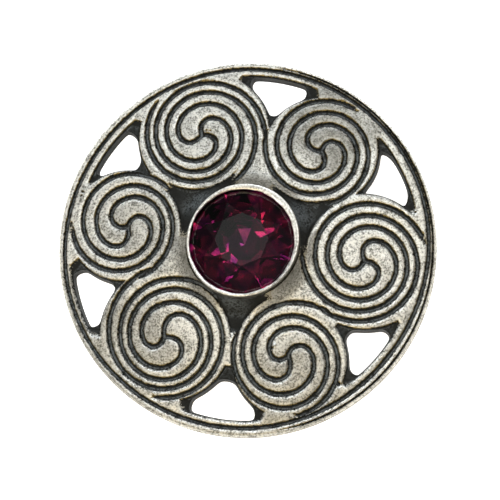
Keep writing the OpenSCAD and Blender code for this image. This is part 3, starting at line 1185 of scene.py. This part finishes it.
def make_cast_grain():
    """Fine speckle and pits of tumbled metal. Positions are in metres, sizes in millimetres."""
    inputs, outputs = {"Position": None, "Grain Size": 0.12}, ["Speckle", "Pits", "Height"]
    group, given, out = new_group("cast_grain", inputs, outputs)
    position = given["Position"]
    scale = math_node(group, "DIVIDE", 1 / MM, given["Grain Size"])
    fine = noise_node(group, position, scale, detail=3, roughness=0.65)
    broad = noise_node(group, position, times(group, scale, BROAD_SCALE))
    shares = times(group, fine, FINE_SHARE), times(group, broad, 1 - FINE_SHARE)
    speckle = math_node(group, "ADD", *shares)
    pit_scale = times(group, scale, PIT_SCALE)
    cells = add_node(group, "TexVoronoi", Vector=position, Scale=pit_scale)
    pits = remap(group, cells["Distance"], *PIT_EDGE)
    height = math_node(group, "SUBTRACT", speckle, times(group, pits, PIT_DEPTH))
    fill(group, out, Speckle=remap(group, speckle, *SPECKLE_RANGE), Pits=pits, Height=height)
    return group


cast_grain = make_cast_grain()
print("Node group:", cast_grain.name)

# %% [markdown]
# The second turns the depth of the relief into masks: black patina in the grooves, a brown film
# along their edges, and the floors, where the black has dulled to grey. The speckle eats into
# the masks, because patina ends in a ragged line.

# %% Gathered patina
# Depths, as shares of the relief's, over which each mask comes or goes.
RAGGED_FROM = (0, 0.12)
RAGGED_BY = -0.55
FILM_COMES, FILM_GOES = (0.03, 0.14), (0.5, 0.25)
PATINA_COMES = (0.12, 0.42)
FLOOR_COMES = (0.83, 0.95)


def make_gathered_patina():
    """Masks from the depth of the relief: the patina, the film on the edges, the bare floor."""
    inputs, outputs = {"Sunk": 0.0, "Speckle": 0.5}, ["Patina", "Edge Film", "Floor"]
    group, given, out = new_group("gathered_patina", inputs, outputs)
    sunk = given["Sunk"]
    ragged = times(group, math_node(group, "SUBTRACT", given["Speckle"], 0.5), RAGGED_BY)
    ragged = times(group, ragged, remap(group, sunk, *RAGGED_FROM))
    depth = math_node(group, "ADD", sunk, ragged)
    film = times(group, remap(group, sunk, *FILM_COMES), remap(group, depth, *FILM_GOES))
    patina, floor = remap(group, depth, *PATINA_COMES), remap(group, sunk, *FLOOR_COMES)
    fill(group, out, Patina=patina, Edge_Film=film, Floor=floor)
    return group


gathered_patina = make_gathered_patina()
print("Node group:", gathered_patina.name)

# %% [markdown]
# The third is handling: broad, faint changes of tone and polish where fingers and cloth have
# rubbed. It is broad noise with a soft range, so that no patch has a sharp edge.

# %% Handling
TONE_RANGE = (0.3, 0.7)
RUBBED_SCALE = 2.3
RUBBED_RANGE = (0.45, 0.75)


def make_handling():
    """Broad, faint changes of tone and polish."""
    inputs, outputs = {"Position": None, "Patch Size": 3.0}, ["Tone", "Rubbed"]
    group, given, out = new_group("handling", inputs, outputs)
    scale = math_node(group, "DIVIDE", 1 / MM, given["Patch Size"])
    tone = noise_node(group, given["Position"], scale, detail=3)
    rubbed = noise_node(group, given["Position"], times(group, scale, RUBBED_SCALE), detail=1)
    tone, rubbed = remap(group, tone, *TONE_RANGE), remap(group, rubbed, *RUBBED_RANGE)
    fill(group, out, Tone=tone, Rubbed=rubbed)
    return group


handling = make_handling()
print("Node group:", handling.name)

# %% [markdown]
# A material takes its colours from the piece's own position, from the measures that the mesh
# carries and from the side that a wall of the relief faces. That side paints light from the top of
# the picture into the colour: walls that face down the face get painted shade, with deeper patina
# and a stronger brown film, and walls and edges that face up it get painted highlights and a
# painted slate grey.

# %% What the materials read
# The slope up to the setting has no such sides. The effect comes in around its foot.
SLOPE_FOOT = (-0.9, 0.2)


def start_material(name):
    """A new node material, with its tree, its Principled shader and the piece's coordinates."""
    material = bpy.data.materials.new(name)
    material.use_nodes = True
    tree = material.node_tree
    return material, tree, tree.nodes["Principled BSDF"], add_node(tree, "TexCoord")


def place_group(tree, group, **named):
    node = tree.nodes.new("ShaderNodeGroup")
    node.node_tree = group
    return fill(tree, node, **named)


def measure(tree, name):
    """One of the measures that the mesh carries at its points."""
    node = tree.nodes.new("ShaderNodeAttribute")
    node.attribute_name = name
    return node.outputs["Fac"]


def bump(tree, height, strength, distance):
    named = {"Strength": strength, "Distance": distance * MM, "Height": height}
    return add_node(tree, "Bump", **named)["Normal"]


def facing_up_the_face(tree, coordinates):
    """How far a wall of the relief faces +Y, more than the dome under it does."""
    position = coordinates["Object"]
    y = add_node(tree, "SeparateXYZ", position)["Y"]
    normal_y = add_node(tree, "SeparateXYZ", coordinates["Normal"])["Y"]
    facing = math_node(tree, "SUBTRACT", normal_y, math_node(tree, "DIVIDE", y, dome_r * MM))
    on_plane = vector_math(tree, "MULTIPLY", position, (1, 1, 0))["Vector"]
    radius = vector_math(tree, "LENGTH", on_plane)["Value"]
    foot = [(pocket_r + FILLET_W + off) * MM for off in SLOPE_FOOT]
    return times(tree, facing, remap(tree, radius, *foot))


print(f"Sides of walls count beyond {pocket_r + FILLET_W:.2f} mm from the axis")

# %% [markdown]
# The pewter is the finish that the eye meets first. Its ridges are pale and sandy, its grooves are
# blue-black with a dull grey floor, and a brown film lies where the two meet. Where a wall faces
# down the face the film is painted stronger as warm shade. Its colours come first, and then how
# strongly each mask works.

# %% Colours of the pewter
# Worn edges, lightened as a painted highlight as well.
EDGE_LIGHT = (0.78, 0.755, 0.675, 1)
# A painted highlight for edges and walls that face up the face.
EDGE_PAINTED_HIGHLIGHT = (0.95, 0.945, 0.90, 1)
RIDGE_LIGHT = (0.76, 0.73, 0.645, 1)
RIDGE_DARK = (0.13, 0.122, 0.098, 1)
# The brown film, also used as painted warm shade.
EDGE_FILM_AND_SHADE = (0.31, 0.235, 0.09, 1)
PATINA = (0.010, 0.010, 0.008, 1)
# The grey of the groove floors, also used as a painted slate on walls that face up the face.
FLOOR_AND_LIT_SLATE = (0.125, 0.137, 0.139, 1)
PIT_DARK = 0.75
PEWTER_SPECULAR = 0.15
PATINA_ROUGH = 0.1

# What a mask goes from and to, and what it gives at either end. Facing is above 0 where a wall
# faces up the face. The masks by facing paint light from the top: painted shade where a wall faces
# down, painted highlights and a painted slate grey where it faces up.
PATINA_SHADE_BY_FACING = (0, -0.4, 1.0, 1.25)
LIGHT_BY_TONE = (0, 1, 0.75, 1.0)
LIGHT_BY_SHADE_AND_DIRT = (0, 1, 1.0, 0.3)
WEAR_AND_HIGHLIGHT_BY_SPECKLE = (0, 1, 0.2, 1.0)
RUBBED_BY_SHADE_AND_DIRT = (0, 0.6, 1.0, 0.3)
HIGHLIGHT_BY_FACING = (0.15, 0.4)
HIGHLIGHT_BY_SPECKLE = (0.3, 0.7)
FILM_SHADE_BY_FACING = (0.15, -0.35, 0.15, 1.0)
FLOOR_LIT_BY_FACING = (-0.3, -0.1, 0.2, 1.0)
LIT_SLATE_BY_FACING = (0.12, 0.5, 0, 0.6)
FLOOR_BY_SPECKLE = (0, 1, 0.05, 1.0)
METALLIC_BY_PATINA = (0, 1, 0.85, 0.1)
ROUGH_BY_RUBBING = (0, 1, 0.5, 0.4)
print("Ridges from", RIDGE_DARK[:3], "to", RIDGE_LIGHT[:3])

# %% [markdown]
# Two shaders, one for metal and one for patina, could be mixed, but an exported model keeps only
# one. So the masks move the colour, the metallic share and the roughness of a single shader. Its
# specular level is a plain number, because an exported model would lose a linked one.

# %% Cast pewter
def make_cast_pewter():
    material, tree, shader, coordinates = start_material("cast_pewter")
    position = coordinates["Object"]
    sunk, worn, shade_and_dirt = (measure(tree, name) for name in ("sunk", "worn", "shade_and_dirt"))
    facing = facing_up_the_face(tree, coordinates)
    grain = place_group(tree, cast_grain, Position=position, Grain_Size=0.2)
    speckle = grain["Speckle"]
    # Painted shade: the patina reaches further on walls that face down the face.
    uneven = times(tree, sunk, remap(tree, facing, *PATINA_SHADE_BY_FACING))
    masks = place_group(tree, gathered_patina, Sunk=uneven, Speckle=speckle)
    patina = masks["Patina"]
    rub = place_group(tree, handling, Position=position, Patch_Size=3.5)

    # Ridges are darker where painted shade and dirt lie: around the setting, on some patches and on the
    # back.
    light = times(tree, speckle, remap(tree, rub["Tone"], *LIGHT_BY_TONE))
    light = times(tree, light, remap(tree, shade_and_dirt, *LIGHT_BY_SHADE_AND_DIRT))
    ridge = mix_colour(tree, light, RIDGE_DARK, RIDGE_LIGHT)
    ridge = mix_colour(tree, times(tree, grain["Pits"], PIT_DARK), ridge, RIDGE_DARK)
    # Worn edges are lighter: partly wear, partly a painted highlight.
    rubbed = times(tree, worn, remap(tree, speckle, *WEAR_AND_HIGHLIGHT_BY_SPECKLE))
    rubbed = times(tree, rubbed, remap(tree, shade_and_dirt, *RUBBED_BY_SHADE_AND_DIRT))
    ridge = mix_colour(tree, rubbed, ridge, EDGE_LIGHT)
    # Painted highlight: edges and walls that face up the face get bright specks.
    bright = remap(tree, facing, *HIGHLIGHT_BY_FACING)
    bright = times(tree, bright, remap(tree, speckle, *HIGHLIGHT_BY_SPECKLE))
    ridge = mix_colour(tree, bright, ridge, EDGE_PAINTED_HIGHLIGHT)
    # The brown film along the groove edges is painted stronger, as warm shade, where a wall faces down
    # the face.
    film = times(tree, masks["Edge Film"], remap(tree, facing, *FILM_SHADE_BY_FACING))
    ridge = mix_colour(tree, film, ridge, EDGE_FILM_AND_SHADE)

    # Painted light: walls that face up the face get a slate grey, and the grey floor fades where it faces
    # down.
    bare = times(tree, masks["Floor"], remap(tree, facing, *FLOOR_LIT_BY_FACING))
    bare = math_node(tree, "MAXIMUM", bare, remap(tree, facing, *LIT_SLATE_BY_FACING))
    bare = times(tree, bare, remap(tree, speckle, *FLOOR_BY_SPECKLE))
    groove = mix_colour(tree, bare, PATINA, FLOOR_AND_LIT_SLATE)

    rough = remap(tree, rub["Rubbed"], *ROUGH_BY_RUBBING)
    fill(tree, shader,
         Base_Color=mix_colour(tree, patina, ridge, groove),
         Metallic=remap(tree, patina, *METALLIC_BY_PATINA),
         Specular_IOR_Level=PEWTER_SPECULAR,
         Roughness=math_node(tree, "ADD", rough, times(tree, patina, PATINA_ROUGH)),
         Normal=bump(tree, grain["Height"], strength=1, distance=0.07))
    return material


disc.data.materials.append(make_cast_pewter())
print("Disc:", disc.data.materials[0].name)

# %% [markdown]
# The setting is plated and burnished, so it is far smoother than the casting. Its wall is darker
# below the lip. It takes its speckle and its changes of polish from the same groups as the pewter,
# with sizes of its own.

# %% Polished setting
SETTING_DARK = (0.45, 0.43, 0.37, 1)
SETTING_LIGHT = (0.82, 0.80, 0.73, 1)
LOW_WALL_COLOUR = (0.36, 0.34, 0.29, 1)
LOW_WALL_FROM, LOW_WALL_FULL, LOW_WALL_SHARE = lip_z - 0.12, lip_z - 0.3, 0.9
SETTING_ROUGH = (0.3, 0.45)


def make_polished_setting():
    material, tree, shader, coordinates = start_material("polished_setting")
    position = coordinates["Object"]
    grain = place_group(tree, cast_grain, Position=position, Grain_Size=0.25)
    rub = place_group(tree, handling, Position=position, Patch_Size=1.6)
    plating = mix_colour(tree, grain["Speckle"], SETTING_DARK, SETTING_LIGHT)
    height = add_node(tree, "SeparateXYZ", position)["Z"]
    # The wall grows darker below the lip.
    low = remap(tree, height, LOW_WALL_FROM * MM, LOW_WALL_FULL * MM, 0, LOW_WALL_SHARE)
    fill(tree, shader,
         Base_Color=mix_colour(tree, low, plating, LOW_WALL_COLOUR),
         Metallic=1,
         Roughness=remap(tree, rub["Tone"], 0, 1, *SETTING_ROUGH),
         Normal=bump(tree, grain["Height"], strength=0.5, distance=0.05))
    return material


setting.data.materials.append(make_polished_setting())
print("Setting:", setting.data.materials[0].name)

# %% [markdown]
# The pin bar is plain steel with fine drawn lines along it. A wave texture would draw them too
# evenly, so they are noise that is stretched along the pin.

# %% Pin steel
STEEL_DARK = (0.50, 0.49, 0.46, 1)
STEEL_LIGHT = (0.68, 0.67, 0.65, 1)
STEEL_PIT = (0.2, 0.19, 0.17, 1)
STEEL_PIT_SHARE = 0.5
LINES_STRETCH = (0.06, 1, 1)
LINES_PER_MM = 9
LINES_RANGE, LINES_ROUGH = (0.3, 0.7), (0.26, 0.42)


def make_pin_steel():
    material, tree, shader, coordinates = start_material("pin_steel")
    position = coordinates["Object"]
    grain = place_group(tree, cast_grain, Position=position, Grain_Size=0.5)
    rub = place_group(tree, handling, Position=position, Patch_Size=2.5)
    stretched = add_node(tree, "Mapping", Vector=position, Scale=LINES_STRETCH)["Vector"]
    lines = noise_node(tree, stretched, LINES_PER_MM / MM)
    steel = mix_colour(tree, rub["Tone"], STEEL_DARK, STEEL_LIGHT)
    pits = times(tree, grain["Pits"], STEEL_PIT_SHARE)
    fill(tree, shader,
         Base_Color=mix_colour(tree, pits, steel, STEEL_PIT),
         Metallic=1,
         Roughness=remap(tree, lines, *LINES_RANGE, *LINES_ROUGH),
         Normal=bump(tree, lines, strength=0.2, distance=0.03))
    return material


pin_bar.data.materials.append(make_pin_steel())
print("Pin bar:", pin_bar.data.materials[0].name)

# %% [markdown]
# The stone's colour comes from two places: the glass tints light on its way in and out, and the
# foil tints it at every reflection. Paths that strike the foil more than once come back nearly
# black, which gives the deep shadows between the flashes. The foil isn't quite even, so each facet
# of the back has a slightly different shade.

# %% Glass and foil
GLASS_TINT = (0.13, 0.055, 0.115, 1)
FOIL_VIOLET = (0.36, 0.10, 0.34, 1)
FOIL_RED = (1.0, 0.32, 0.48, 1)
FOIL_PATCHES_PER_MM = 0.5
FOIL_RANGE = (0.35, 0.65)


def make_purple_glass():
    material, tree, shader, _ = start_material("purple_glass")
    fill(tree, shader, Base_Color=GLASS_TINT, Roughness=0, IOR=1.55, Transmission_Weight=1)
    return material


def make_stone_foil():
    material, tree, shader, coordinates = start_material("stone_foil")
    patches = noise_node(tree, coordinates["Object"], FOIL_PATCHES_PER_MM / MM, detail=1)
    share = remap(tree, patches, *FOIL_RANGE)
    colour = mix_colour(tree, share, FOIL_VIOLET, FOIL_RED)
    fill(tree, shader, Base_Color=colour, Metallic=1, Roughness=0.03)
    return material


for made in (make_purple_glass(), make_stone_foil()):
    stone.data.materials.append(made)
print("Stone:", [made.name for made in stone.data.materials])

# %% [markdown]
# The photograph is a plain product picture on a white ground. A white floor would turn grey in the
# shade of the brooch, so this one glows faintly and stays white through the piercings.

# %% Floor
FLOOR_HALF = 900
PAPER = (0.85, 0.85, 0.85, 1)
PAPER_GLOW = 0.93

floor_mesh = bpy.data.meshes.new("floor")
floor_corners = [(x * FLOOR_HALF * MM, y * FLOOR_HALF * MM, 0)
                 for x, y in ((-1, -1), (1, -1), (1, 1), (-1, 1))]
floor_mesh.from_pydata(floor_corners, [], [(0, 1, 2, 3)])
floor = bpy.data.objects.new("floor", floor_mesh)
bpy.context.scene.collection.objects.link(floor)
floor_paper, floor_tree, floor_shader, _ = start_material("floor_paper")
fill(floor_tree, floor_shader, Base_Color=PAPER, Roughness=0.9,
     Emission_Color=(1, 1, 1, 1), Emission_Strength=PAPER_GLOW)
floor_mesh.materials.append(floor_paper)
print("Floor:", floor_paper.name)

# %% [markdown]
# Area lamps could light the brooch. Windows in the world are simpler: each is a direction, a width
# and a colour, and it lights every spot alike. The world is dim at the horizon, which keeps upright
# walls dark. The first window is dim as well, because the table of the stone mirrors it. The others
# stand where no facet on the stone's front mirrors them towards the camera. Those at the top of
# the picture are cool and those at the bottom warm, because the photograph's ridges are neutral
# along their upper edges and golden along their lower ones.

# %% World
HORIZON_LIGHT = 0.05
OVERHEAD_LIGHT = 0.2
OVERHEAD_FROM = (0.3, 0.9)

# Directions are degrees anticlockwise from +X, and degrees down from straight above.
PLAIN, COOL, WARM = (1, 0.99, 0.97), (0.88, 0.97, 1.08), (1.14, 0.98, 0.68)
Window = namedtuple("Window", "direction from_top radius strength colour")
WINDOWS = [
    Window(119, 11, 9, 0.4, PLAIN),
    Window(80, 31, 9, 8.5, COOL),
    Window(16, 27, 9, 8.5, PLAIN),
    Window(196, 30, 9, 6.5, PLAIN),
    Window(262, 33, 9, 5.2, WARM),
    Window(114, 62, 6, 10, COOL),
    Window(151, 62, 6, 6, COOL),
    Window(264, 62, 6, 11, WARM),
]
WINDOW_EDGE = 4


def make_world():
    """A world that is dim at the horizon and brighter overhead, with soft round windows."""
    world = bpy.data.worlds.new("studio")
    world.use_nodes = True
    tree = world.node_tree
    direction = add_node(tree, "TexCoord")["Generated"]
    upwards = add_node(tree, "SeparateXYZ", direction)["Z"]
    sky = remap(tree, upwards, *OVERHEAD_FROM, HORIZON_LIGHT, OVERHEAD_LIGHT)
    glow = vector_math(tree, "MULTIPLY", PLAIN, sky)["Vector"]
    for window in WINDOWS:
        around, down = math.radians(window.direction), math.radians(window.from_top)
        middle = (math.cos(around) * math.sin(down), math.sin(around) * math.sin(down), math.cos(down))
        aligned = vector_math(tree, "DOT_PRODUCT", direction, middle)["Value"]
        dark, lit = (math.cos(math.radians(window.radius + edge)) for edge in (WINDOW_EDGE, -WINDOW_EDGE))
        colour = [window.strength * share for share in window.colour]
        share = remap(tree, aligned, dark, lit)
        glow = vector_math(tree, "MULTIPLY_ADD", share, colour, glow)["Vector"]
    fill(tree, tree.nodes["Background"], Color=glow)
    return world


bpy.context.scene.world = make_world()
bpy.context.scene.view_settings.view_transform = "Standard"
print(f"World with {len(WINDOWS)} windows")
